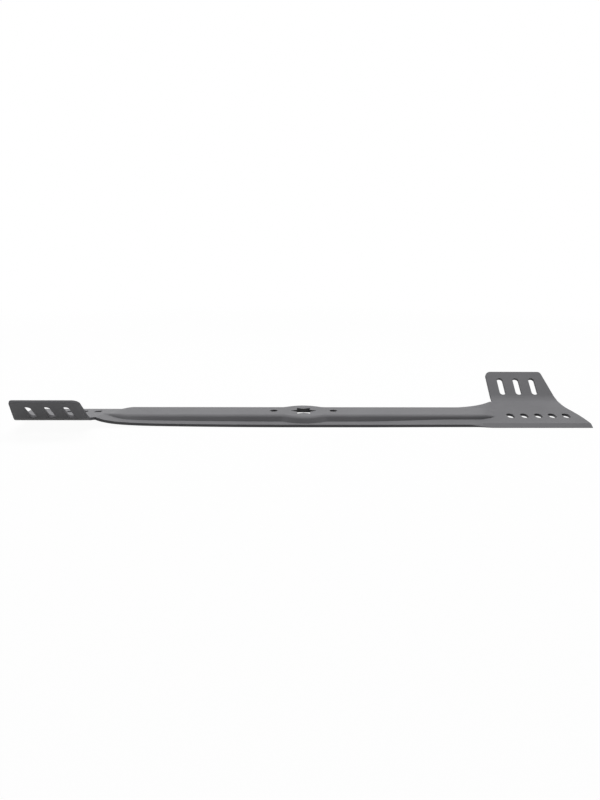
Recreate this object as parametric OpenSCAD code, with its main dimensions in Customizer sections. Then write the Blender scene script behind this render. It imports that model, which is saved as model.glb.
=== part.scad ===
// Rotary mower blade for a collecting deck, pressed from one bar of sheet steel.
// A raised crown stiffens the bar and swells to a round boss with a star drive hole.
// Each end twists into a flat cutting plate whose rear side is folded up as a slotted lifting wing.
// Origin: turning axis, on the surface the bar lies on. +X runs to one tip, +Z is the wing side.
// Both ends are the same shape, turned half a circle about Z. The +X end cuts on its -Y side.

/* [Bar] */
// Diameter of the circle that the two cutting tips sweep
tip_circle = 536; // [500:0.5:600]
// Width of the bar between its ends
bar_w = 60; // [56:1:72]
// Thickness of the sheet
sheet_t = 2.6; // [2:0.1:3.2]

/* [Crown] */
// Rise of the crown above the flanges
crown_h = 5.7; // [4:0.1:7]
// Width of the flat top of the crown
crown_top_w = 30; // [26:0.5:33]
// Width of each sloping side of the crown, seen from above
crown_side_w = 5.2; // [4:0.1:6]
// Length of the crown that has its full height
crown_len = 328; // [280:1:332]
// Length over which each end of the crown dies away
crown_runout = 18; // [12:1:20]
// Half width left where the crown dies away
crown_end_w = 10; // [7:0.5:12]
// Reach of the rounding on each side of an edge of the crown
press_reach = 1.9; // [1.6:0.1:2.1]

/* [Boss] */
// Diameter of the flat top of the boss
boss_d = 43; // [38:0.1:44]
// Distance across two points of the star drive hole
star_d = 24; // [18:0.5:28]
// Length cut off each point of the star, so that it ends round
star_blunt = 0.6; // [0.3:0.1:1.5]
// Diameter of the two side holes
side_hole_d = 7; // [5:0.1:9]
// Distance between the centres of the side holes
side_hole_pitch = 57; // [50:0.5:70]

/* [Cutting plate] */
// Length of the plate from the wing's inner edge to the tip
plate_len = 74.1; // [72:0.1:80]
// Upward slope of the plate from its cutting edge to the wing
plate_tilt = 6.7; // [2:0.1:10]
// Distance by which the plate stands out in front of the bar
plate_front = 1.9; // [1:0.1:4]
// Distance by which the plate stands out behind the bar, at the root of the wing
plate_rear = 2.2; // [1:0.1:5]
// Distance from the turning axis at which the bar starts to widen to the plate
flare_start = 158; // [150:1:166]
// Length over which it widens at the front
flare_len = 18; // [14:1:22]
// Distance from the turning axis at which the front flange starts to slope
twist_start = 48; // [40:1:70]
// Distance from the turning axis at which the front flange has the plate's slope
twist_end = 142; // [110:1:150]
// Share of the rear edge's rise that is spread along the bar
rear_early = 0.3; // [0:0.05:0.5]
// How late the rest of the rise comes: a higher value rises later
rear_rise = 14; // [8:0.5:16]
// Length of the straight stretch of the plate's end, next to the cutting edge
tip_flat = 5; // [3:0.5:8]
// Distance by which the end of the plate steps back between the tip and the wing
end_step = 7.7; // [6:0.1:12]
// Distance from the rear edge of the plate to the end of that step
step_margin = 9; // [6:0.5:14]
// Shift of the plate's end at the middle of its width, before it steps back
step_lean = 1; // [0:0.1:2]
// Width of the cutting bevel
bevel_w = 5.6; // [4:0.1:8]
// Height left at the cutting edge below the bevel
edge_land = 0.4; // [0.2:0.1:0.8]
// Distance from the wing's inner edge to the start of the full bevel
bevel_start = -27; // [-30:0.1:-10]
// Radius of the grinding wheel that leaves the run-out of the bevel
grind_r = 50; // [40:1:100]

/* [Vent holes] */
// Number of oblong holes in a row across each plate
vent_count = 5; // [3:1:5]
// Distance between neighbouring holes
vent_pitch = 13.4; // [10:0.1:14]
// Distance from the wing's inner edge to the first hole
vent_first = 5.1; // [5:0.1:9]
// Distance from the cutting edge to the row of holes
vent_row = 24.8; // [18:0.1:32]
// Width of a hole, along the bar
vent_w = 6.5; // [4:0.1:8]
// Length of a hole, across the bar
vent_l = 11; // [9:0.1:14]

/* [Wing] */
// Angle by which the wing is folded up from the plate
wing_fold = 32.5; // [25:0.1:50]
// Distance from the rear edge of the plate to the start of the fold
fold_gap = 0.5; // [0.3:0.1:6]
// Radius on the inside of the fold
fold_r = 20; // [12:0.5:30]
// Straight length of the wing above the fold
wing_h = 30.8; // [28:0.1:40]
// Height at which the wing's outer edge starts to lean inwards, from the end of the fold
wing_foot = -6; // [-12:0.5:-4]
// Length of the wing's top edge, before its corners are rounded
wing_top_w = 58.2; // [54:0.1:62]
// Radius of the wing's inner top corner
wing_inner_r = 6; // [3:0.5:8]
// Radius of the wing's outer top corner
wing_outer_r = 3.5; // [2:0.5:6]
// Radius of the notch where the wing's inner edge meets the bar
root_r = 3; // [2:0.5:5]
// Depth by which that notch cuts into the bar
root_relief = 0.4; // [0.2:0.1:1]
// Number of slots in each wing
slot_count = 3; // [2:1:3]
// Distance between neighbouring slots
slot_pitch = 16.5; // [12:0.1:17]
// Distance from the wing's inner edge to the first slot
slot_first = 13.6; // [11:0.1:17]
// Distance from the wing's top edge down to the slots
slot_margin = 9.1; // [6:0.1:9.5]
// Width of a slot
slot_w = 6; // [4:0.1:8]
// Length of a slot
slot_l = 21.3; // [14:0.1:21.5]

/* [Hidden] */
$fn = 96;
coating = [0.43, 0.44, 0.45];
// Overshoot of the cutting tools past the sheet
overshoot = 5;
// Distance that keeps the shear of the wing's corner off the face of the root notch
shear_gap = 0.05;

// Places along the bar, measured from the turning axis
tip_x = sqrt(pow(tip_circle / 2, 2) - pow(bar_w / 2 + plate_front, 2));
wing_x = tip_x - plate_len;
plate_x = wing_x - root_r;
bevel_x = wing_x + bevel_start;
shoulder_x = tip_x - end_step;

// Half widths of the crown's flat top and of its foot
top_half = crown_top_w / 2;
foot_half = top_half + crown_side_w;
boss_r = boss_d / 2;
boss_foot_r = boss_r + crown_side_w;

// The sheet is pressed a little longer than the finished blade, and sheared to length
blank_x = tip_x + overshoot;
// Width of the plate at the root of the wing, and the distance across it to the fold
plate_w = plate_front + bar_w + plate_rear;
fold_start = plate_w + fold_gap;
// Radius of the fold at the middle of the sheet
fold_mid_r = fold_r + sheet_t / 2;
bevel_angle = atan((sheet_t - edge_land) / bevel_w);

// Sampling of the pressed surfaces
blend_steps = 3;
boss_steps = 6;
mid_steps = 8;
runout_steps = 7;
fold_steps = 8;
curve_steps = 12;
// Largest share of a side that the rounding of one of its edges may take
reach_share = 0.45;
// Power with which the early share of the rear edge's rise grows along the bar
early_power = 2;
// Power with which the bar widens behind
flare_power = 1.5;
// Sharpness of the plan-view blend between the round boss and the straight crown
boss_blend = 6;

function mix(a, b, w) = a + (b - a) * w;
function clamp01(u) = max(0, min(1, u));
function ease(u) = let (c = clamp01(u)) c * c * (3 - 2 * c);
function unit(v) = v / norm(v);
function left_of(v) = [-v[1], v[0]];
function reversed(list) = [for (i = [len(list) - 1:-1:0]) list[i]];

// Middle of the sheet on the flat bar and on the sloping plate, a distance across from the bar's front edge
function on_bar(across) = [across - bar_w / 2, sheet_t / 2];
function on_plate(across) =
    let (from_edge = across + plate_front)
    [
        from_edge * cos(plate_tilt) - sheet_t / 2 * sin(plate_tilt) - plate_front - bar_w / 2,
        from_edge * sin(plate_tilt) + sheet_t / 2 * cos(plate_tilt)
    ];

// Share of the run-out that lies behind a station
function runout_share(x) = clamp01((x - crown_len / 2) / crown_runout);

// Half width of the crown at a station: the straight crown joined to the round boss, narrowing at its end
function crown_half(x, straight, round_r) =
    let (chord = sqrt(max(0, round_r * round_r - x * x)))
    let (joined = pow(pow(straight, boss_blend) + pow(chord, boss_blend), 1 / boss_blend))
    mix(joined, crown_end_w * straight / foot_half, pow(runout_share(x), 1.5));

// Corners of the sheet's middle line at a station of the +X half, from the front edge to the rear edge
function corners(x) =
    let (front = ease((x - twist_start) / (twist_end - twist_start)))
    let (along = x / plate_x)
    let (rear = mix(pow(along, rear_rise), pow(along, early_power), rear_early))
    let (flare = -plate_front * ease((x - flare_start) / flare_len))
    let (widening = clamp01((x - flare_start) / (plate_x - flare_start)))
    let (rear_edge = bar_w + plate_rear * pow(widening, flare_power))
    let (sink = pow(runout_share(x), 2))
    let (top = crown_half(x, top_half, boss_r))
    let (foot = crown_half(x, foot_half, boss_foot_r))
    let (mid = bar_w / 2)
    let (rise = [0, crown_h])
    [
        mix(on_bar(flare), on_plate(flare), front),
        mix(on_bar(mid - foot), on_plate(mid - foot), front),
        mix(on_bar(mid - top) + rise, on_plate(mid - top), sink),
        mix(on_bar(mid + top) + rise, on_plate(mid + top), sink),
        mix(on_bar(mid + foot), on_plate(mid + foot), rear),
        mix(on_bar(rear_edge), on_plate(rear_edge), rear)
    ];

// One sheet point and the direction of its upper face: [[y, z], [ny, nz]]
function blend_point(before, corner, after, t) =
    let (d0 = unit(corner - before))
    let (d1 = unit(after - corner))
    let (shorter = min(norm(corner - before), norm(after - corner)))
    let (reach = min(press_reach, reach_share * shorter))
    let (p0 = corner - d0 * reach)
    let (p1 = corner + d1 * reach)
    [
        p0 * pow(1 - t, 2) + corner * 2 * t * (1 - t) + p1 * t * t,
        left_of(unit(mix(d0, d1, t)))
    ];

// The sheet's middle line at a station, with every inner corner rounded
function middle_line(c) =
    let (last = len(c) - 1)
    concat(
        [[c[0], left_of(unit(c[1] - c[0]))]],
        [for (i = [1:last - 1]) for (s = [0:blend_steps])
            blend_point(c[i - 1], c[i], c[i + 1], s / blend_steps)],
        [[c[last], left_of(unit(c[last] - c[last - 1]))]]
    );

// Middle line of the fold and the wing, at the slope of the plate
function fold_line() =
    let (first = left_of([cos(plate_tilt), sin(plate_tilt)]))
    let (centre = on_plate(bar_w + plate_rear + fold_gap) + first * fold_mid_r)
    let (slope = plate_tilt + wing_fold)
    let (last = left_of([cos(slope), sin(slope)]))
    concat(
        [for (i = [0:fold_steps])
            let (a = plate_tilt + wing_fold * i / fold_steps)
            let (up = left_of([cos(a), sin(a)]))
            [centre - up * fold_mid_r, up]],
        [[centre - last * fold_mid_r + (wing_h + overshoot) * [cos(slope), sin(slope)], last]]
    );

// Faces of the sheet on both sides of its middle line
function upper_face(line) = [for (p = line) p[0] + p[1] * sheet_t / 2];
function lower_face(line) = [for (p = line) p[0] - p[1] * sheet_t / 2];
function half_turn(points) = [for (p = points) [-p[0], p[1]]];

// Closed ring of points in space, for a station anywhere along the bar
function ring(x) =
    let (line = middle_line(corners(abs(x))))
    let (upper = upper_face(line))
    let (lower = lower_face(line))
    let (left = x < 0)
    [for (p = concat(left ? reversed(half_turn(upper)) : upper, left ? half_turn(lower) : reversed(lower)))
        [x, p[0], p[1]]];

// Stations of the +X half, closer together over the boss and the run-out
boss_end = boss_foot_r * 1.1;
half_stations = concat(
    [for (i = [1:boss_steps]) boss_end * i / boss_steps],
    [for (i = [1:mid_steps]) mix(boss_end, crown_len / 2, i / mid_steps)],
    [for (i = [1:runout_steps]) mix(crown_len / 2, plate_x, i / runout_steps)]
);
stations = concat([for (x = reversed(half_stations)) -x], [0], half_stations);

// Triangles between neighbouring loops of n points
function skin(first, n, loops) =
    [for (i = [0:loops - 2]) for (j = [0:n - 1]) for (half = [0, 1])
        let (a = first + i * n + j)
        let (b = first + i * n + (j + 1) % n)
        half == 0 ? [a, b, b + n] : [a, b + n, a + n]];

// Flat bands between two loops of n points
function bands(first, n) =
    [for (j = [0:n - 1])
        let (k = (j + 1) % n)
        [first + j, first + k, first + k + n, first + j + n]];

// The whole sheet as pressed: the crowned and twisted bar, and both plates with their folds and wings
module pressed_sheet() {
    rings = [for (x = stations) ring(x)];
    n = len(rings[0]);
    m = len(rings);
    bar_line = middle_line(corners(plate_x));
    end_loop = concat(
        upper_face(bar_line),
        upper_face(fold_line()),
        reversed(lower_face(fold_line())),
        reversed(lower_face(bar_line))
    );
    e = len(end_loop);
    right_end = [for (x = [plate_x, blank_x]) for (p = end_loop) [x, p[0], p[1]]];
    left_end = [for (p = right_end) [-p[0], -p[1], p[2]]];
    right_first = m * n;
    left_first = right_first + 2 * e;
    ends = [right_first, left_first];
    caps = [for (first = ends) [for (j = [0:e - 1]) first + e + j]];
    wing_walls = [for (first = ends) [for (j = [e - n / 2:-1:n / 2 - 1]) first + j]];
    polyhedron(
        concat([for (r = rings) each r], right_end, left_end),
        concat(skin(0, n, m), bands(right_first, e), bands(left_first, e), caps, wing_walls),
        convexity = 10
    );
}

// Frame of a plate: y runs across from the cutting edge, z is 0 on the underside
module in_plate() {
    translate([0, -bar_w / 2 - plate_front, 0])
        rotate([plate_tilt, 0, 0])
            children();
}

// Frame of a wing: y runs up from the end of the fold, z is 0 on the underside
module in_wing() {
    in_plate()
        translate([0, fold_start, sheet_t + fold_r])
            rotate([wing_fold, 0, 0])
                translate([0, 0, -sheet_t - fold_r])
                    children();
}

// Point of a smooth curve that four points control
function cubic(c, t) =
    c[0] * pow(1 - t, 3) + c[1] * 3 * t * pow(1 - t, 2) + c[2] * 3 * t * t * (1 - t) + c[3] * pow(t, 3);

// Shear that leaves the stepped end of a plate
module end_shear() {
    reach = 2 * bar_w;
    step_points = [
        [tip_x, tip_flat],
        [tip_x - step_lean, plate_w / 2],
        [shoulder_x, plate_w * 2 / 3],
        [shoulder_x, plate_w - step_margin]
    ];
    step_line = [for (i = [0:curve_steps]) cubic(step_points, i / curve_steps)];
    translate([0, 0, -overshoot])
        linear_extrude(reach)
            polygon(concat(
                [[tip_x, -overshoot]],
                step_line,
                [[shoulder_x, reach], [blank_x + overshoot, reach], [blank_x + overshoot, -overshoot]]
            ));
}

// Notch that frees the wing's inner edge from the bar, with a round root
module root_notch() {
    reach = 2 * bar_w;
    translate([wing_x - root_r, plate_w + root_r - root_relief, -overshoot])
        linear_extrude(reach) {
            circle(root_r);
            translate([-root_r, 0])
                square([2 * root_r, reach]);
        }
}

// Arc that rounds a corner of an outline
function round_corner(before, corner, after, r) =
    let (d0 = unit(before - corner))
    let (d1 = unit(after - corner))
    let (half = acos(d0 * d1) / 2)
    let (centre = corner + unit(d0 + d1) * r / sin(half))
    let (from = centre - corner - d0 * r / tan(half))
    let (start = atan2(-from[1], -from[0]))
    let (turn = 180 - 2 * half)
    [for (i = [0:curve_steps / 2])
        let (a = start + turn * i * 2 / curve_steps)
        centre + r * [cos(a), sin(a)]];

// Shear that leaves the outline of a wing, in the wing's frame
module wing_shear() {
    outer_foot = [shoulder_x, wing_foot];
    outer_top = [wing_x + wing_top_w, wing_h];
    inner_top = [wing_x - shear_gap, wing_h];
    inner_foot = [wing_x - shear_gap, wing_h / 2];
    lean = (outer_foot - outer_top) / (wing_h - wing_foot);
    waste_x = [wing_x - 2 * root_r, blank_x + overshoot];
    waste_top = wing_h + 2 * overshoot;
    translate([0, 0, -overshoot])
        linear_extrude(sheet_t + 2 * overshoot)
            polygon(concat(
                [outer_foot + lean * overshoot],
                round_corner(outer_foot, outer_top, inner_top, wing_outer_r),
                round_corner(outer_top, inner_top, inner_foot, wing_inner_r),
                [inner_foot, [waste_x[0], wing_h / 2], [waste_x[0], waste_top]],
                [[waste_x[1], waste_top], [waste_x[1], wing_foot - overshoot]]
            ));
}

// Oblong hole of a given width and length, along y, through the sheet
module oblong(width, length) {
    straight = length - width;
    translate([0, 0, -overshoot])
        linear_extrude(sheet_t + 2 * overshoot) {
            translate([-width / 2, -straight / 2])
                square([width, straight]);
            for (side = [-1, 1])
                translate([0, side * straight / 2])
                    circle(d = width);
        }
}

// Everything that the grinding wheel takes off the cutting edge
module bevel_cut() {
    in_plate()
        translate([bevel_x, 0, edge_land])
            rotate([bevel_angle, 0, 0])
                translate([0, -bevel_w, 0]) {
                    cube([blank_x, 3 * bevel_w, 2 * sheet_t]);
                    translate([0, 0, grind_r])
                        rotate([-90, 0, 0])
                            cylinder(r = grind_r, h = 3 * bevel_w);
                }
}

// Everything that is cut from one end
module end_cuts() {
    in_plate() {
        end_shear();
        root_notch();
        for (i = [0:vent_count - 1])
            translate([wing_x + vent_first + i * vent_pitch, vent_row, 0])
                oblong(vent_w, vent_l);
    }
    in_wing() {
        wing_shear();
        for (i = [0:slot_count - 1])
            translate([wing_x + slot_first + i * slot_pitch, wing_h - slot_margin - slot_l / 2, 0])
                oblong(slot_w, slot_l);
    }
    bevel_cut();
}

// Six-pointed star of two triangles, with round points
module star() {
    point_r = star_d / 2 + star_blunt;
    intersection() {
        union()
            for (turn = [0, 180])
                rotate(turn)
                    polygon([for (i = [0:2]) point_r * [cos(120 * i), sin(120 * i)]]);
        circle(d = star_d);
    }
}

// Drive hole and side holes
module centre_cuts() {
    translate([0, 0, -sheet_t]) {
        linear_extrude(crown_h + 3 * sheet_t)
            star();
        for (side = [-1, 1])
            translate([side * side_hole_pitch / 2, 0, 0])
                cylinder(d = side_hole_d, h = crown_h + 3 * sheet_t);
    }
}

module blade() {
    color(coating)
        difference() {
            pressed_sheet();
            for (turn = [0, 180])
                rotate(turn)
                    end_cuts();
            centre_cuts();
        }
}

blade();
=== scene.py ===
"""Looks of the rotary mower blade: one pressed, pierced, ground and coated sheet on a white floor."""

from math import atan2, cos, pi, radians, sin, sqrt, tan

import bmesh
import bpy
from bpy.props import (
    FloatProperty,
    FloatVectorProperty,
    IntProperty,
    PointerProperty,
)
from mathutils import Matrix, Vector


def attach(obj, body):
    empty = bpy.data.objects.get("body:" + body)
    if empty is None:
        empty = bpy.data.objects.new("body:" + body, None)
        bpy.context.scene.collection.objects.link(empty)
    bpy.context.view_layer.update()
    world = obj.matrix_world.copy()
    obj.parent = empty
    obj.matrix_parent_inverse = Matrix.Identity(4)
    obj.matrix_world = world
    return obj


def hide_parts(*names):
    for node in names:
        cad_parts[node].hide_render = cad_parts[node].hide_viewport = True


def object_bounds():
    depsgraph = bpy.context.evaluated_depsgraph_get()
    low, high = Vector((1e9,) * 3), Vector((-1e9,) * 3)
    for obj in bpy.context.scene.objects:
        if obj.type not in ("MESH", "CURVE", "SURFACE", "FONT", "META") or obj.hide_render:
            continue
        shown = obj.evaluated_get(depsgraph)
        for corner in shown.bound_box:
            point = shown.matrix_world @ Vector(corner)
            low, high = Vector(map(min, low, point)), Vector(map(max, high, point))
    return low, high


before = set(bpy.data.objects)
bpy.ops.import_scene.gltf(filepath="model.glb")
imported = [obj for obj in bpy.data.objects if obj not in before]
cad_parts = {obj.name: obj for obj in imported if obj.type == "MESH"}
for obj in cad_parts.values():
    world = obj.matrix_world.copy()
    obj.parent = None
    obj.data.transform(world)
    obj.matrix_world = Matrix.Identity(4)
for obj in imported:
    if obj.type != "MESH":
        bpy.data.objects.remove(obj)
CAD_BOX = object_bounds()

bl_info = {
    "name": "Mower blade",
    "version": (1, 0, 0),
    "blender": (4, 5, 0),
    "location": "View3D > Sidebar > Blade",
    "description": "Builds a pressed rotary mower blade and its studio",
    "category": "Object",
}


def length(name, description, default):
    return FloatProperty(name=name, description=description, default=default,
                         min=0.0, unit="LENGTH", precision=5)


def angle(name, description, degrees):
    return FloatProperty(name=name, description=description, default=radians(degrees),
                         subtype="ANGLE")


def number(name, description, default):
    return FloatProperty(name=name, description=description, default=default)


def colour(name, description, default):
    return FloatVectorProperty(name=name, description=description, default=default,
                               subtype="COLOR", size=3, min=0.0, max=1.0)


class BladeSheet(bpy.types.PropertyGroup):
    """Sizes of the pressed sheet."""

    tip_circle: length("Tip circle", "Diameter that the tips sweep", 0.536)
    bar_w: length("Bar width", "Width of the bar between its ends", 0.060)
    sheet_t: length("Thickness", "Thickness of the sheet", 0.0026)
    crown_h: length("Crown height", "Rise of the crown above the flanges", 0.0057)
    crown_top_w: length("Crown top", "Width of the flat top of the crown", 0.030)
    crown_side_w: length("Crown side", "Width of each sloping side, seen from above", 0.0034)
    front_steep: number("Front steepness", "Share by which the front side narrows towards the plate", 0.55)
    crown_len: length("Crown length", "Length of the crown at its full height", 0.328)
    crown_runout: length("Crown run-out", "Length over which the crown dies away", 0.018)
    crown_end_w: length("Crown end", "Half width left where the crown dies away", 0.010)
    press_reach: length("Press rounding", "Reach of the rounding of the crown's top edges", 0.0019)
    foot_reach: length("Foot rounding", "Reach of the rounding at the crown's foot", 0.0006)
    boss_d: length("Boss", "Diameter of the flat top of the boss", 0.043)
    plate_len: length("Plate length", "From the wing's inner edge to the tip", 0.0741)
    plate_tilt: angle("Plate slope", "Upward slope of the plate to the wing", 6.7)
    plate_front: length("Plate front", "How far the plate stands out in front of the bar", 0.0019)
    plate_rear: length("Plate rear", "How far the plate stands out behind the bar", 0.0022)
    flare_start: length("Flare start", "Where the bar starts to widen to the plate", 0.158)
    flare_len: length("Flare length", "Length over which it widens at the front", 0.018)
    twist_start: length("Twist start", "Where the front flange starts to slope", 0.048)
    twist_end: length("Twist end", "Where the front flange has the plate's slope", 0.142)
    rear_early: number("Early rise", "Share of the rear edge's rise that is spread along the bar", 0.3)
    rear_rise: number("Rear rise", "How late the rest of the rise comes", 14.0)
    wing_fold: angle("Wing fold", "Angle by which the wing is folded up", 32.5)
    fold_gap: length("Fold gap", "From the plate's rear edge to the fold", 0.0005)
    fold_r: length("Fold radius", "Radius on the inside of the fold", 0.020)
    wing_h: length("Wing height", "Straight length of the wing above the fold", 0.0308)
    waste: length("Waste", "How far the sheet is pressed past its sheared outline", 0.005)


class BladeCuts(bpy.types.PropertyGroup):
    """Sizes of everything that is sheared, pierced and ground away."""

    star_d: length("Star", "Distance across two points of the star hole", 0.024)
    star_round: length("Star points", "Rounding of the points of the star", 0.0004)
    side_hole_d: length("Side hole", "Diameter of the side holes", 0.007)
    side_hole_pitch: length("Side hole pitch", "Distance between the side holes", 0.057)
    end_step: length("End step", "How far the plate's end steps back to the wing", 0.0077)
    tip_flat: length("Tip flat", "Straight stretch of the end by the cutting edge", 0.005)
    step_margin: length("Step margin", "From the plate's rear edge to the end of the step", 0.009)
    step_lean: length("Step lean", "Shift of the plate's end at its middle, before the step", 0.001)
    vent_count: IntProperty(name="Vents", description="Holes across each plate", default=5, min=1)
    vent_pitch: length("Vent pitch", "Distance between neighbouring vents", 0.0134)
    vent_first: length("First vent", "From the wing's inner edge to the first vent", 0.0051)
    vent_row: length("Vent row", "From the cutting edge to the row of vents", 0.0248)
    vent_w: length("Vent width", "Width of a vent along the bar", 0.0065)
    vent_l: length("Vent length", "Length of a vent across the bar", 0.011)
    slot_count: IntProperty(name="Slots", description="Slots in each wing", default=3, min=1)
    slot_pitch: length("Slot pitch", "Distance between neighbouring slots", 0.0165)
    slot_first: length("First slot", "From the wing's inner edge to the first slot", 0.0136)
    slot_margin: length("Slot margin", "From the wing's top edge to the slots", 0.0091)
    slot_w: length("Slot width", "Width of a slot", 0.006)
    slot_l: length("Slot length", "Length of a slot", 0.0213)
    wing_drop: length("Wing drop", "From the end of the fold down to where the outer edge leans", 0.006)
    wing_top_w: length("Wing top", "Length of the wing's top edge", 0.0582)
    wing_inner_r: length("Inner corner", "Radius of the wing's inner top corner", 0.006)
    wing_outer_r: length("Outer corner", "Radius of the wing's outer top corner", 0.0035)
    root_r: length("Root notch", "Radius of the notch at the wing's root", 0.003)
    root_relief: length("Root relief", "How far that notch cuts into the bar", 0.0004)
    bevel_w: length("Bevel width", "Width of the cutting bevel", 0.0056)
    edge_land: length("Edge land", "Height left below the bevel", 0.0004)
    bevel_back: length("Bevel start", "From the wing's inner edge back to the full bevel", 0.027)
    grind_r: length("Wheel radius", "Radius of the grinding wheel", 0.050)
    rim_round: length("Rim rounding", "Rounding of sheared rims under the coating", 0.00028)


class BladeFinish(bpy.types.PropertyGroup):
    """Colours of the coating, with a darker one as painted shade on the ground bevel and a lighter one as
    a painted highlight on the rims.
    """

    coating: colour("Coating", "Colour of the satin coating", (0.190, 0.189, 0.198))
    # The ground colour is darker than the coating: painted shade on the cutting bevel
    ground: colour("Ground edge", "Colour of the ground bevel, darker as painted shade", (0.168, 0.167, 0.175))
    # The rim colour is lighter than the coating: a painted highlight along the rounded rims
    rim: colour("Rim", "Colour of the rounded rims, lighter as a painted highlight", (0.225, 0.224, 0.232))


class BladeStage(bpy.types.PropertyGroup):
    """Camera, floor and lights."""

    distance: length("Distance", "From the lens to the point looked at", 0.6298)
    elevation: angle("Elevation", "Height of the view above the floor", 14.32)
    heading: angle("Heading", "Turn of the view about the upright axis", 1.43)
    roll: angle("Roll", "Turn of the picture about the line of sight", 0.40)
    aim: FloatVectorProperty(name="Aim", description="Point looked at, before the heading",
                             default=(-0.00347, 0.0, 0.0069), subtype="XYZ", unit="LENGTH")
    lens: number("Lens", "Focal length in millimetres", 29.63)
    shift: number("Shift", "Upward shift of the frame", 0.015)
    paper: colour("Paper", "Share of the light that the floor throws back", (0.46, 0.46, 0.46))
    shadow: number("Shadow", "Strength of the shadow on the floor", 0.04)
    shadow_reach: length("Shadow reach", "Distance at which the shadow has faded", 1.2)
    fill: number("Fill", "Strength of the light from all round", 0.03)
    lamp_at: FloatVectorProperty(name="Lamp", description="Place of the overhead lamp",
                                 default=(0.0, 0.25, 1.30), subtype="XYZ", unit="LENGTH")
    lamp_size: FloatVectorProperty(name="Lamp size", description="Width and depth of the lamp",
                                   default=(1.6, 0.8), size=2, unit="LENGTH")
    lamp_power: number("Lamp power", "Power of the lamp in watts", 19.8)


def clamp(u):
    return max(0.0, min(1.0, u))


def ease(u):
    c = clamp(u)
    return c * c * (3 - 2 * c)


def mix(a, b, w):
    return a + (b - a) * w


class Places:
    """Places along the bar and across the plate that follow from the sizes."""

    def __init__(self, sheet, cuts):
        edge_y = sheet.bar_w / 2 + sheet.plate_front
        self.tip_x = sqrt((sheet.tip_circle / 2) ** 2 - edge_y ** 2)
        self.wing_x = self.tip_x - sheet.plate_len
        self.plate_x = self.wing_x - cuts.root_r
        self.blank_x = self.tip_x + sheet.waste
        self.shoulder_x = self.tip_x - cuts.end_step
        self.bevel_x = self.wing_x - cuts.bevel_back
        self.reach = 2 * sheet.bar_w
        self.plate_w = sheet.plate_front + sheet.bar_w + sheet.plate_rear
        self.fold_start = self.plate_w + sheet.fold_gap
        self.bevel_angle = atan2(sheet.sheet_t - cuts.edge_land, cuts.bevel_w)
        self.in_plate = Matrix.Translation((0, -edge_y, 0)) @ Matrix.Rotation(sheet.plate_tilt, 4, "X")
        centre = sheet.sheet_t + sheet.fold_r
        self.in_wing = (self.in_plate @ Matrix.Translation((0, self.fold_start, centre))
                        @ Matrix.Rotation(sheet.wing_fold, 4, "X")
                        @ Matrix.Translation((0, 0, -centre)))


# Powers of the curves along the bar, and the most of a side that a rounding takes
BOSS_BLEND = 6
RUNOUT_POWER = 1.5
FLARE_POWER = 1.5
EARLY_POWER = 2
REACH_SHARE = 0.45


def corner_points(sheet, places, x):
    """Corners of the sheet's middle line at a station of the +X half, from front edge to rear edge."""
    half, mid_z = sheet.bar_w / 2, sheet.sheet_t / 2
    tilt, stand_out = sheet.plate_tilt, sheet.plate_front
    front = ease((x - sheet.twist_start) / (sheet.twist_end - sheet.twist_start))
    along = x / places.plate_x
    rear = mix(along ** sheet.rear_rise, along ** EARLY_POWER, sheet.rear_early)
    front_edge = -stand_out * ease((x - sheet.flare_start) / sheet.flare_len)
    widening = clamp((x - sheet.flare_start) / (places.plate_x - sheet.flare_start))
    rear_edge = sheet.bar_w + sheet.plate_rear * widening ** FLARE_POWER
    gone = clamp((x - sheet.crown_len / 2) / sheet.crown_runout)
    top_half = sheet.crown_top_w / 2
    foot_half = top_half + sheet.crown_side_w
    boss_r = sheet.boss_d / 2

    def on_bar(across, rise=0.0):
        return Vector((across - half, mid_z + rise))

    def on_plate(across):
        from_edge = across + stand_out
        return Vector((from_edge * cos(tilt) - mid_z * sin(tilt) - stand_out - half,
                       from_edge * sin(tilt) + mid_z * cos(tilt)))

    def half_width(straight, round_r):
        chord = sqrt(max(0.0, round_r ** 2 - x * x))
        joined = (straight ** BOSS_BLEND + chord ** BOSS_BLEND) ** (1 / BOSS_BLEND)
        return mix(joined, sheet.crown_end_w * straight / foot_half, gone ** RUNOUT_POWER)

    top = half_width(top_half, boss_r)
    rear_foot = half_width(foot_half, boss_r + sheet.crown_side_w)
    front_side = sheet.crown_side_w * (1 - sheet.front_steep * front)
    front_foot = half_width(top_half + front_side, boss_r + front_side)
    rise, sink = sheet.crown_h, gone ** 2
    return [
        mix(on_bar(front_edge), on_plate(front_edge), front),
        mix(on_bar(half - front_foot), on_plate(half - front_foot), front),
        mix(on_bar(half - top, rise), on_plate(half - top), sink),
        mix(on_bar(half + top, rise), on_plate(half + top), sink),
        mix(on_bar(half + rear_foot), on_plate(half + rear_foot), rear),
        mix(on_bar(rear_edge), on_plate(rear_edge), rear),
    ]


BLEND_STEPS = 6
FOLD_STEPS = 24


def section(sheet, places, x):
    """The sheet's middle line at a station, with its pressed edges rounded."""
    c = corner_points(sheet, places, x)
    line = [c[0]]
    roundings = (sheet.foot_reach, sheet.press_reach, sheet.press_reach, sheet.foot_reach)
    for before, corner, after, rounding in zip(c, c[1:], c[2:], roundings):
        to_before, to_after = before - corner, after - corner
        reach = min(rounding, REACH_SHARE * min(to_before.length, to_after.length))
        p0 = corner + to_before.normalized() * reach
        p1 = corner + to_after.normalized() * reach
        for i in range(BLEND_STEPS + 1):
            t = i / BLEND_STEPS
            line.append(p0 * (1 - t) ** 2 + corner * 2 * t * (1 - t) + p1 * t * t)
    return line + [c[-1]]


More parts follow.
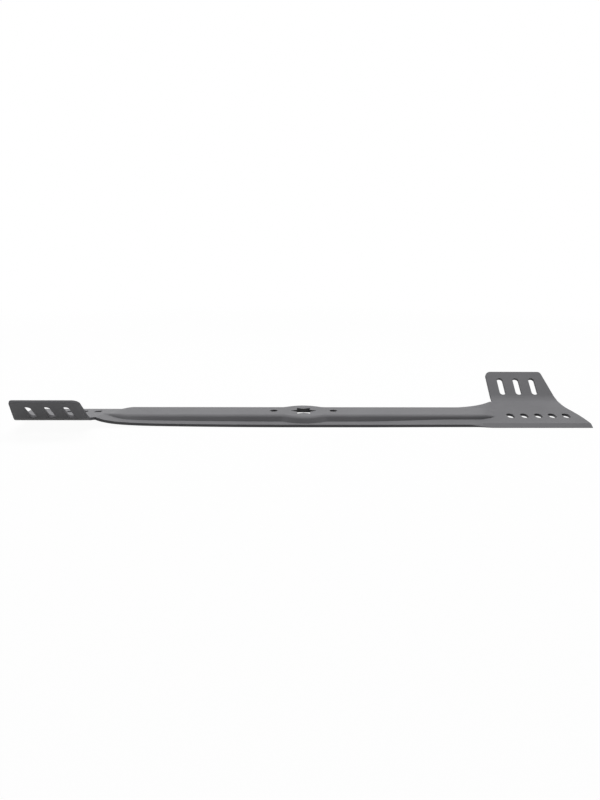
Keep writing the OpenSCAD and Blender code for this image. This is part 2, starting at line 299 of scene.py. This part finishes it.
def fold_section(sheet, places):
    """The middle line of the fold and the wing."""
    centre = Vector((places.fold_start, sheet.sheet_t + sheet.fold_r))
    radius = sheet.fold_r + sheet.sheet_t / 2
    line = []
    for i in range(FOLD_STEPS + 1):
        a = sheet.wing_fold * i / FOLD_STEPS
        line.append(centre + radius * Vector((sin(a), -cos(a))))
    rise = Vector((cos(sheet.wing_fold), sin(sheet.wing_fold)))
    line.append(line[-1] + rise * (sheet.wing_h + sheet.waste))
    turned = [places.in_plate @ Vector((0, p[0], p[1])) for p in line]
    return [Vector((p[1], p[2])) for p in turned]


BOSS_MARGIN = 1.1
BOSS_STATIONS, CROWN_STATIONS, RUNOUT_STATIONS = 20, 32, 24


def stations(sheet, places):
    """Stations of the +X half, closer together over the boss and the run-out."""
    boss_end = (sheet.boss_d / 2 + sheet.crown_side_w) * BOSS_MARGIN
    crown_end = sheet.crown_len / 2
    runs = ((0.0, boss_end, BOSS_STATIONS), (boss_end, crown_end, CROWN_STATIONS),
            (crown_end, places.plate_x, RUNOUT_STATIONS))
    xs = [mix(a, b, i / n) for a, b, n in runs for i in range(n)]
    return xs + [places.plate_x, places.blank_x]


# Points nearer than this are one point
SAME_POINT = 1e-6


def press_sheet(bm, sheet, places):
    """Presses a flat grid into the middle surface of the crowned, twisted and folded sheet."""
    xs = stations(sheet, places)
    fold = fold_section(sheet, places)
    lines = [section(sheet, places, min(x, places.plate_x)) + fold for x in xs]
    columns, rows = len(xs) - 1, len(lines[0]) - 1
    bmesh.ops.create_grid(bm, x_segments=columns, y_segments=rows, size=1.0)
    beside_wing = []
    last_bar_row = rows - len(fold)
    for v in bm.verts:
        i = round((v.co.x + 1) / 2 * columns)
        j = round((v.co.y + 1) / 2 * rows)
        v.co = (xs[i], *lines[i][j])
        if i < columns - 1 and j > last_bar_row:
            beside_wing.append(v)
    bmesh.ops.delete(bm, geom=beside_wing, context="VERTS")
    half = bm.verts[:] + bm.edges[:] + bm.faces[:]
    other = bmesh.ops.duplicate(bm, geom=half)["geom"]
    turned = [g for g in other if isinstance(g, bmesh.types.BMVert)]
    bmesh.ops.rotate(bm, verts=turned, cent=(0, 0, 0), matrix=Matrix.Rotation(pi, 3, "Z"))
    bmesh.ops.remove_doubles(bm, verts=bm.verts[:], dist=SAME_POINT)
    bmesh.ops.recalc_face_normals(bm, faces=bm.faces[:])
    if sum(f.normal.z for f in bm.faces) < 0:
        bmesh.ops.reverse_faces(bm, faces=bm.faces[:])


def new_object(name, bm):
    mesh = bpy.data.meshes.new(name)
    bm.to_mesh(mesh)
    bm.free()
    made = bpy.data.objects.new(name, mesh)
    bpy.context.scene.collection.objects.link(made)
    return made


def thicken(bm, faces, depth):
    """Makes flat faces into a closed tool of a given depth along z."""
    made = bmesh.ops.extrude_face_region(bm, geom=faces)["geom"]
    moved = [g for g in made if isinstance(g, bmesh.types.BMVert)]
    bmesh.ops.translate(bm, verts=moved, vec=(0, 0, depth))


def place_tool(bm, first, matrix):
    """Moves the newest vertices of a tool from its own frame into the blade's."""
    bm.verts.ensure_lookup_table()
    bmesh.ops.transform(bm, matrix=matrix, verts=bm.verts[first:])


PUNCH_SEGMENTS = 40
ON_AXIS = 1e-7


def oblong_tool(bm, width, long, depth, matrix):
    """A round-ended punch along y."""
    first = len(bm.verts)
    ring = bmesh.ops.create_circle(bm, cap_ends=True, segments=PUNCH_SEGMENTS, radius=width / 2)["verts"]
    for side in (-1, 1):
        ends = [v for v in ring if v.co.y * side > ON_AXIS]
        bmesh.ops.translate(bm, verts=ends, vec=(0, side * (long - width) / 2, 0))
    faces = list({f for v in ring for f in v.link_faces})
    bmesh.ops.translate(bm, verts=ring, vec=(0, 0, -depth / 2))
    thicken(bm, faces, depth)
    place_tool(bm, first, matrix)


STAR_POINTS = 6
STAR_VALLEY = 1 / sqrt(3)
POINT_STEPS = 4


def star_tool(bm, cuts, depth):
    """A six-pointed punch whose points are slightly round."""
    tip_r = cuts.star_d / 2 + cuts.star_round
    ring = bmesh.ops.create_circle(bm, cap_ends=True, segments=2 * STAR_POINTS, radius=tip_r)["verts"]
    points, valleys = [], []
    for v in ring:
        step = round(atan2(v.co.y, v.co.x) / (pi / STAR_POINTS))
        (valleys if step % 2 else points).append(v)
    bmesh.ops.scale(bm, vec=(STAR_VALLEY, STAR_VALLEY, 1), verts=valleys)
    bmesh.ops.bevel(bm, geom=points, offset=cuts.star_round * 2, offset_type="OFFSET",
                    segments=POINT_STEPS, profile=0.5, affect="VERTICES", material=-1)
    bmesh.ops.translate(bm, verts=bm.verts[:], vec=(0, 0, -depth / 2))
    thicken(bm, bm.faces[:], depth)


# Length of a punch, in heights of the bar and in thicknesses of the sheet
BAR_PUNCH, END_PUNCH = 6, 4


def punch_tools(sheet, cuts, places):
    """Every punch in one tool: star, side holes, vents and slots."""
    bm = bmesh.new()
    depth = BAR_PUNCH * (sheet.crown_h + sheet.sheet_t)
    star_tool(bm, cuts, depth)
    for side in (-1, 1):
        at = Matrix.Translation((side * cuts.side_hole_pitch / 2, 0, 0))
        oblong_tool(bm, cuts.side_hole_d, cuts.side_hole_d, depth, at)
    end_depth = END_PUNCH * sheet.sheet_t
    for turn in (0.0, pi):
        half_turn = Matrix.Rotation(turn, 4, "Z")
        for i in range(cuts.vent_count):
            x = places.wing_x + cuts.vent_first + i * cuts.vent_pitch
            at = half_turn @ places.in_plate @ Matrix.Translation((x, cuts.vent_row, sheet.sheet_t / 2))
            oblong_tool(bm, cuts.vent_w, cuts.vent_l, end_depth, at)
        for i in range(cuts.slot_count):
            x = places.wing_x + cuts.slot_first + i * cuts.slot_pitch
            y = sheet.wing_h - cuts.slot_margin - cuts.slot_l / 2
            at = half_turn @ places.in_wing @ Matrix.Translation((x, y, sheet.sheet_t / 2))
            oblong_tool(bm, cuts.slot_w, cuts.slot_l, end_depth, at)
    return bm


def both_ends(bm):
    """Adds the half-turned copy of a tool for the other end."""
    other = bmesh.ops.duplicate(bm, geom=bm.verts[:] + bm.edges[:] + bm.faces[:])["geom"]
    verts = [g for g in other if isinstance(g, bmesh.types.BMVert)]
    bmesh.ops.rotate(bm, verts=verts, cent=(0, 0, 0), matrix=Matrix.Rotation(pi, 3, "Z"))
    bmesh.ops.recalc_face_normals(bm, faces=bm.faces[:])
    return bm


def cubic(c, t):
    """Point of a smooth curve that four points control."""
    return (c[0] * (1 - t) ** 3 + c[1] * 3 * t * (1 - t) ** 2
            + c[2] * 3 * t * t * (1 - t) + c[3] * t ** 3)


CURVE_STEPS = 24
STEP_PULL = 2 / 3


def end_shear_tool(sheet, cuts, places):
    """Shear that leaves the stepped end of each plate."""
    bm = bmesh.new()
    bmesh.ops.create_grid(bm, x_segments=1, y_segments=CURVE_STEPS + 2, size=1.0)
    curve = [
        Vector((places.tip_x, cuts.tip_flat)),
        Vector((places.tip_x - cuts.step_lean, places.plate_w / 2)),
        Vector((places.shoulder_x, places.plate_w * STEP_PULL)),
        Vector((places.shoulder_x, places.plate_w - cuts.step_margin)),
    ]
    for v in bm.verts:
        j = round((v.co.y + 1) / 2 * (CURVE_STEPS + 2)) - 1
        near, across = cubic(curve, clamp(j / CURVE_STEPS))
        if j < 0 or j > CURVE_STEPS:
            across = -sheet.waste if j < 0 else places.reach
        v.co = (near if v.co.x < 0 else places.blank_x + sheet.waste, across, -sheet.waste)
    thicken(bm, bm.faces[:], places.reach)
    place_tool(bm, 0, places.in_plate)
    return both_ends(bm)


# Keeps the shear of the wing's corner off the face of the root notch
SHEAR_GAP = 0.00005
CORNER_STEPS = 10


def wing_shear_tool(sheet, cuts, places):
    """Shear that leaves the outline of each wing: a U of waste with two rounded inner corners."""
    bm = bmesh.new()
    outer_top = Vector((places.wing_x + cuts.wing_top_w, sheet.wing_h))
    outer_foot = Vector((places.shoulder_x, -cuts.wing_drop))
    lean = (outer_foot - outer_top) / (sheet.wing_h + cuts.wing_drop)
    low = outer_foot + lean * sheet.waste
    left, right = places.wing_x - 2 * cuts.root_r, places.blank_x + sheet.waste
    above, middle = sheet.wing_h + 2 * sheet.waste, sheet.wing_h / 2
    inner = places.wing_x - SHEAR_GAP
    outline = [low, outer_top, (inner, sheet.wing_h), (inner, middle),
               (left, middle), (left, above), (right, above), (right, low[1])]
    verts = [bm.verts.new((p[0], p[1], -sheet.waste)) for p in outline]
    bm.faces.new(verts)
    for i, radius in ((1, cuts.wing_outer_r), (2, cuts.wing_inner_r)):
        before, corner, after = (Vector(p) for p in outline[i - 1:i + 2])
        half = (before - corner).angle(after - corner) / 2
        bmesh.ops.bevel(bm, geom=[verts[i]], offset=radius / tan(half), offset_type="OFFSET",
                        segments=CORNER_STEPS, profile=0.5, affect="VERTICES", material=-1)
    thicken(bm, bm.faces[:], sheet.sheet_t + 2 * sheet.waste)
    place_tool(bm, 0, places.in_wing)
    return both_ends(bm)


def root_notch_tool(sheet, cuts, places):
    """Notch that frees each wing's inner edge from the bar."""
    bm = bmesh.new()
    reach = places.reach
    base = places.plate_w - cuts.root_relief
    at = Matrix.Translation((places.wing_x - cuts.root_r, base + reach / 2, reach / 2 - sheet.waste))
    oblong_tool(bm, 2 * cuts.root_r, reach, reach, places.in_plate @ at)
    return both_ends(bm)


# Width of the wheel in bevel widths, and how far its sweep is carried past its run-out
WHEEL_WIDTHS = 3
WHEEL_MARGIN = 0.0001


def grinding_tool(sheet, cuts, places):
    """Grinding wheel's sweep along each cutting edge, with its curved run-out."""
    bm = bmesh.new()
    above = 2 * sheet.sheet_t
    run_out = sqrt(cuts.grind_r ** 2 - (cuts.grind_r - above) ** 2)
    bmesh.ops.create_grid(bm, x_segments=CURVE_STEPS + 1, y_segments=1, size=1.0)
    for v in bm.verts:
        i = round((v.co.x + 1) / 2 * (CURVE_STEPS + 1))
        x = -run_out * (1 - i / CURVE_STEPS) if i <= CURVE_STEPS else places.blank_x
        z = cuts.grind_r - sqrt(cuts.grind_r ** 2 - min(x, 0.0) ** 2)
        v.co = (x, -z if v.co.y < 0 else -above - WHEEL_MARGIN, 0.0)
    thicken(bm, bm.faces[:], WHEEL_WIDTHS * cuts.bevel_w)
    upright = Matrix.Rotation(-pi / 2, 4, "X")
    at = (places.in_plate @ Matrix.Translation((places.bevel_x, 0, cuts.edge_land))
          @ Matrix.Rotation(places.bevel_angle, 4, "X") @ Matrix.Translation((0, -cuts.bevel_w, 0)))
    place_tool(bm, 0, at @ upright)
    return both_ends(bm)


def cut(blank, tools):
    """Takes every tool away from the blank's mesh."""
    for bm in tools:
        bmesh.ops.recalc_face_normals(bm, faces=bm.faces[:])
        tool = new_object("tool", bm)
        taken = blank.modifiers.new("cut", "BOOLEAN")
        taken.operation, taken.solver, taken.object = "DIFFERENCE", "EXACT", tool
    shaped = blank.evaluated_get(bpy.context.evaluated_depsgraph_get())
    mesh = bpy.data.meshes.new_from_object(shaped)
    for taken in list(blank.modifiers):
        tool = taken.object
        blank.modifiers.remove(taken)
        if tool is not None:
            bpy.data.objects.remove(tool)
    blank.data = mesh


# Material slots, of which the ground slot carries painted shade and the rim slot a painted highlight, and
# the limits by which facets, ground faces and rims are told
COATED, SHADED_GROUND, RIM_HIGHLIGHT = range(3)
FLAT_ANGLE, GROUND_ANGLE, RIM_ANGLE = radians(0.05), radians(0.5), radians(40)
SAME_CUT_POINT = 2e-6
RIM_STEPS = 2


def round_rims(mesh, cuts, places):
    """Merges flat facets, gives the ground faces the darker coating of painted shade and rounds every
    sheared rim in the lighter coating of a painted highlight.
    """
    bm = bmesh.new()
    bm.from_mesh(mesh)
    bmesh.ops.remove_doubles(bm, verts=bm.verts[:], dist=SAME_CUT_POINT)
    bmesh.ops.dissolve_limit(bm, angle_limit=FLAT_ANGLE, verts=bm.verts[:], edges=bm.edges[:])
    turned = places.in_plate.to_3x3() @ Matrix.Rotation(places.bevel_angle, 3, "X")
    ground_normal = turned @ Vector((0, 0, 1))
    grinding = [ground_normal, Vector((-ground_normal.x, -ground_normal.y, ground_normal.z))]
    for f in bm.faces:
        end = grinding[0] if f.calc_center_median().x > 0 else grinding[1]
        # Faces of the ground bevel take the darker coating, which is painted shade
        f.material_index = SHADED_GROUND if f.normal.angle(end) < GROUND_ANGLE else COATED
    rims = [e for e in bm.edges
            if len(e.link_faces) == 2 and e.calc_face_angle() > RIM_ANGLE
            and all(f.material_index == COATED for f in e.link_faces)]
    # The rounded rims take the lighter coating, which is a painted highlight
    bmesh.ops.bevel(bm, geom=rims, offset=cuts.rim_round, offset_type="OFFSET", segments=RIM_STEPS,
                    profile=0.5, affect="EDGES", clamp_overlap=False, material=RIM_HIGHLIGHT)
    bmesh.ops.dissolve_degenerate(bm, dist=SAME_CUT_POINT, edges=bm.edges[:])
    for f in bm.faces:
        f.smooth = True
    for e in bm.edges:
        if len(e.link_faces) != 2:
            raise RuntimeError("the sheet is open along an edge")
        e.smooth = sum(f.material_index == SHADED_GROUND for f in e.link_faces) != 1
    bm.to_mesh(mesh)
    bm.free()


def node(tree, kind, **values):
    made = tree.nodes.new(kind)
    for name, value in values.items():
        if name in made.inputs:
            made.inputs[name].default_value = value
        else:
            setattr(made, name, value)
    return made


# Grains of the coating per metre, and the share of the finest one in its relief
GRAIN = {"Peel Size": 900.0, "Speck Size": 4200.0, "Mottle Size": 28.0}
SPECK_SHARE = 0.35


def grain_group():
    """Fine relief and slow mottling of a sprayed coating."""
    group = bpy.data.node_groups.new("sprayed coating", "ShaderNodeTree")
    group.interface.new_socket("Vector", in_out="INPUT", socket_type="NodeSocketVector")
    for name in GRAIN:
        group.interface.new_socket(name, in_out="INPUT", socket_type="NodeSocketFloat")
    for name in ("Height", "Mottle"):
        group.interface.new_socket(name, in_out="OUTPUT", socket_type="NodeSocketFloat")
    inputs, outputs = node(group, "NodeGroupInput"), node(group, "NodeGroupOutput")
    peel = node(group, "ShaderNodeTexNoise", Detail=2.0, Roughness=0.5)
    speck = node(group, "ShaderNodeTexNoise", Detail=1.0, Roughness=0.6)
    mottle = node(group, "ShaderNodeTexNoise", Detail=3.0, Roughness=0.55)
    for made, size in ((peel, "Peel Size"), (speck, "Speck Size"), (mottle, "Mottle Size")):
        group.links.new(inputs.outputs["Vector"], made.inputs["Vector"])
        group.links.new(inputs.outputs[size], made.inputs["Scale"])
    part = node(group, "ShaderNodeMath", operation="MULTIPLY")
    part.inputs[1].default_value = SPECK_SHARE
    both = node(group, "ShaderNodeMath", operation="ADD")
    group.links.new(speck.outputs["Fac"], part.inputs[0])
    group.links.new(peel.outputs["Fac"], both.inputs[0])
    group.links.new(part.outputs[0], both.inputs[1])
    group.links.new(both.outputs[0], outputs.inputs["Height"])
    group.links.new(mottle.outputs["Fac"], outputs.inputs["Mottle"])
    return group


COATING_IOR = 1.20
TINT_FROM, TINT_TO = 0.3, 0.7
GLOSS_SPREAD = 0.04
RELIEF_DEPTH = 0.00005


def coating_material(name, rgb, roughness, spread, bump, group):
    """Satin coating whose colour and gloss vary a little over the surface."""
    material = bpy.data.materials.new(name)
    material.use_nodes = True
    tree = material.node_tree
    tree.nodes.clear()
    output = node(tree, "ShaderNodeOutputMaterial")
    shader = node(tree, "ShaderNodeBsdfPrincipled", IOR=COATING_IOR)
    place = node(tree, "ShaderNodeTexCoord")
    grain = node(tree, "ShaderNodeGroup")
    grain.node_tree = group
    for size, value in GRAIN.items():
        grain.inputs[size].default_value = value
    tint = node(tree, "ShaderNodeValToRGB")
    for element, share in zip(tint.color_ramp.elements, (1 - spread, 1 + spread)):
        element.color = (*(c * share for c in rgb), 1.0)
    tint.color_ramp.elements[0].position = TINT_FROM
    tint.color_ramp.elements[1].position = TINT_TO
    gloss = node(tree, "ShaderNodeMapRange")
    gloss.inputs["To Min"].default_value = roughness - GLOSS_SPREAD
    gloss.inputs["To Max"].default_value = roughness + GLOSS_SPREAD
    relief = node(tree, "ShaderNodeBump", Strength=bump, Distance=RELIEF_DEPTH)
    tree.links.new(place.outputs["Object"], grain.inputs["Vector"])
    tree.links.new(grain.outputs["Mottle"], tint.inputs["Fac"])
    tree.links.new(grain.outputs["Mottle"], gloss.inputs["Value"])
    tree.links.new(grain.outputs["Height"], relief.inputs["Height"])
    tree.links.new(tint.outputs["Color"], shader.inputs["Base Color"])
    tree.links.new(gloss.outputs["Result"], shader.inputs["Roughness"])
    tree.links.new(relief.outputs["Normal"], shader.inputs["Normal"])
    tree.links.new(shader.outputs["BSDF"], output.inputs["Surface"])
    return material


# Name, colour property, roughness, spread of the colour and strength of the relief, in slot order
COATINGS = (
    ("satin coating", "coating", 0.50, 0.05, 0.35),
    # Darker coating on the ground bevel: painted shade
    ("coated ground edge", "ground", 0.46, 0.05, 0.35),
    # Lighter coating on the rounded rims: a painted highlight
    ("coated rim", "rim", 0.46, 0.05, 0.2),
)


class MakeBlade(bpy.types.Operator):
    """Press, shear, pierce, grind and coat the blade"""

    bl_idname = "mower_blade.make_blade"
    bl_label = "Make blade"

    def execute(self, context):
        sheet, cuts, finish = (context.scene.blade_sheet, context.scene.blade_cuts,
                               context.scene.blade_finish)
        places = Places(sheet, cuts)
        bm = bmesh.new()
        press_sheet(bm, sheet, places)
        blade = new_object("coated_blade", bm)
        thick = blade.modifiers.new("thickness", "SOLIDIFY")
        thick.thickness, thick.offset, thick.use_even_offset = sheet.sheet_t, 0.0, True
        blade.modifiers.new("flat facets", "TRIANGULATE")
        blade.data = bpy.data.meshes.new_from_object(
            blade.evaluated_get(context.evaluated_depsgraph_get()))
        blade.modifiers.clear()
        cut(blade, [
            punch_tools(sheet, cuts, places),
            end_shear_tool(sheet, cuts, places),
            wing_shear_tool(sheet, cuts, places),
            root_notch_tool(sheet, cuts, places),
            grinding_tool(sheet, cuts, places),
        ])
        round_rims(blade.data, cuts, places)
        group = grain_group()
        blade.data.materials.clear()
        for name, paint, *looks in COATINGS:
            blade.data.materials.append(coating_material(name, getattr(finish, paint), *looks, group))
        blade.modifiers.new("face weights", "WEIGHTED_NORMAL").keep_sharp = True
        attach(blade, "root")
        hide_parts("blade")
        return {"FINISHED"}


def looking_rays(tree):
    """Socket that is 1 for rays that look at the white itself, straight or in a reflection."""
    path = node(tree, "ShaderNodeLightPath")
    found = path.outputs["Is Camera Ray"]
    for name in ("Is Glossy Ray", "Is Transmission Ray"):
        either = node(tree, "ShaderNodeMath", operation="MAXIMUM")
        tree.links.new(found, either.inputs[0])
        tree.links.new(path.outputs[name], either.inputs[1])
        found = either.outputs[0]
    return found


def studio_world(scene, fill):
    """Surroundings that look white and give a soft fill light."""
    world = bpy.data.worlds.new("white tent")
    scene.world = world
    world.use_nodes = True
    tree = world.node_tree
    tree.nodes.clear()
    output = node(tree, "ShaderNodeOutputWorld")
    seen = node(tree, "ShaderNodeBackground", Color=(1, 1, 1, 1), Strength=1.0)
    light = node(tree, "ShaderNodeBackground", Color=(1, 1, 1, 1), Strength=fill)
    choice = node(tree, "ShaderNodeMixShader")
    tree.links.new(looking_rays(tree), choice.inputs[0])
    tree.links.new(light.outputs[0], choice.inputs[1])
    tree.links.new(seen.outputs[0], choice.inputs[2])
    tree.links.new(choice.outputs[0], output.inputs["Surface"])


def paper_material(stage):
    """Paper that looks white with a faint shadow near the blade, and throws back part of the light."""
    material = bpy.data.materials.new("white paper")
    material.use_nodes = True
    tree = material.node_tree
    tree.nodes.clear()
    output = node(tree, "ShaderNodeOutputMaterial")
    place = node(tree, "ShaderNodeTexCoord")
    away = node(tree, "ShaderNodeVectorMath", operation="LENGTH")
    fade = node(tree, "ShaderNodeMapRange")
    fade.inputs["From Min"].default_value = stage.shadow_reach / 2
    fade.inputs["From Max"].default_value = stage.shadow_reach
    fade.inputs["To Min"].default_value = 1 - stage.shadow
    bounce = node(tree, "ShaderNodeBsdfDiffuse", Color=(*stage.paper, 1.0))
    matt = node(tree, "ShaderNodeBsdfDiffuse", Color=(1, 1, 1, 1))
    bright = node(tree, "ShaderNodeEmission", Color=(1, 1, 1, 1), Strength=1.0)
    seen = node(tree, "ShaderNodeMixShader")
    choice = node(tree, "ShaderNodeMixShader")
    tree.links.new(place.outputs["Object"], away.inputs[0])
    tree.links.new(away.outputs["Value"], fade.inputs["Value"])
    tree.links.new(fade.outputs["Result"], seen.inputs[0])
    tree.links.new(matt.outputs[0], seen.inputs[1])
    tree.links.new(bright.outputs[0], seen.inputs[2])
    tree.links.new(looking_rays(tree), choice.inputs[0])
    tree.links.new(bounce.outputs[0], choice.inputs[1])
    tree.links.new(seen.outputs[0], choice.inputs[2])
    tree.links.new(choice.outputs[0], output.inputs["Surface"])
    return material


def softbox(name, at, size, watts):
    """Hangs a rectangular lamp that looks at the middle of the blade."""
    lamp = bpy.data.lights.new(name, "AREA")
    lamp.shape, lamp.size, lamp.size_y, lamp.energy = "RECTANGLE", size[0], size[1], watts
    made = bpy.data.objects.new(name, lamp)
    made.location = at
    made.rotation_euler = (-Vector(at)).to_track_quat("-Z", "Y").to_euler()
    bpy.context.scene.collection.objects.link(made)


FLOOR_HALF = 6.0
SENSOR_WIDTH = 36.0


class SetStage(bpy.types.Operator):
    """Lay the white floor, hang the lamp and set the camera"""

    bl_idname = "mower_blade.set_stage"
    bl_label = "Set stage"

    def execute(self, context):
        scene, stage = context.scene, context.scene.blade_stage
        scene.view_settings.view_transform = "Standard"
        studio_world(scene, stage.fill)
        bm = bmesh.new()
        bmesh.ops.create_grid(bm, x_segments=1, y_segments=1, size=FLOOR_HALF)
        bmesh.ops.translate(bm, verts=bm.verts[:], vec=(0, 0, CAD_BOX[0].z))
        floor = new_object("floor", bm)
        floor.data.materials.append(paper_material(stage))
        softbox("overhead lamp", stage.lamp_at, stage.lamp_size, stage.lamp_power)
        lens = bpy.data.cameras.new("view")
        lens.lens, lens.sensor_width, lens.shift_y = stage.lens, SENSOR_WIDTH, stage.shift
        camera = bpy.data.objects.new("view", lens)
        heading = Matrix.Rotation(-stage.heading, 4, "Z")
        tilt = Matrix.Rotation(pi / 2 - stage.elevation, 4, "X")
        turn = Matrix.Rotation(stage.roll, 4, "Z")
        back = Matrix.Translation((0, 0, stage.distance))
        camera.matrix_world = heading @ Matrix.Translation(stage.aim) @ tilt @ turn @ back
        scene.collection.objects.link(camera)
        scene.camera = camera
        return {"FINISHED"}


class BladePanel(bpy.types.Panel):
    """Sizes and steps of the blade"""

    bl_idname = "VIEW3D_PT_mower_blade"
    bl_label = "Mower blade"
    bl_space_type = "VIEW_3D"
    bl_region_type = "UI"
    bl_category = "Blade"

    def draw(self, context):
        for group in GROUPS:
            box = self.layout.box()
            owner = getattr(context.scene, group)
            for name in owner.bl_rna.properties.keys():
                if name not in ("rna_type", "name"):
                    box.prop(owner, name)
        for operator in (MakeBlade, SetStage):
            self.layout.operator(operator.bl_idname)


GROUPS = {"blade_sheet": BladeSheet, "blade_cuts": BladeCuts, "blade_finish": BladeFinish,
          "blade_stage": BladeStage}
CLASSES = (*GROUPS.values(), MakeBlade, SetStage, BladePanel)


def register():
    for made in CLASSES:
        bpy.utils.register_class(made)
    for name, group in GROUPS.items():
        setattr(bpy.types.Scene, name, PointerProperty(type=group))


def unregister():
    for name in GROUPS:
        delattr(bpy.types.Scene, name)
    for made in reversed(CLASSES):
        bpy.utils.unregister_class(made)


def main():
    register()
    bpy.ops.mower_blade.make_blade()
    bpy.ops.mower_blade.set_stage()


if __name__ == "__main__":
    main()
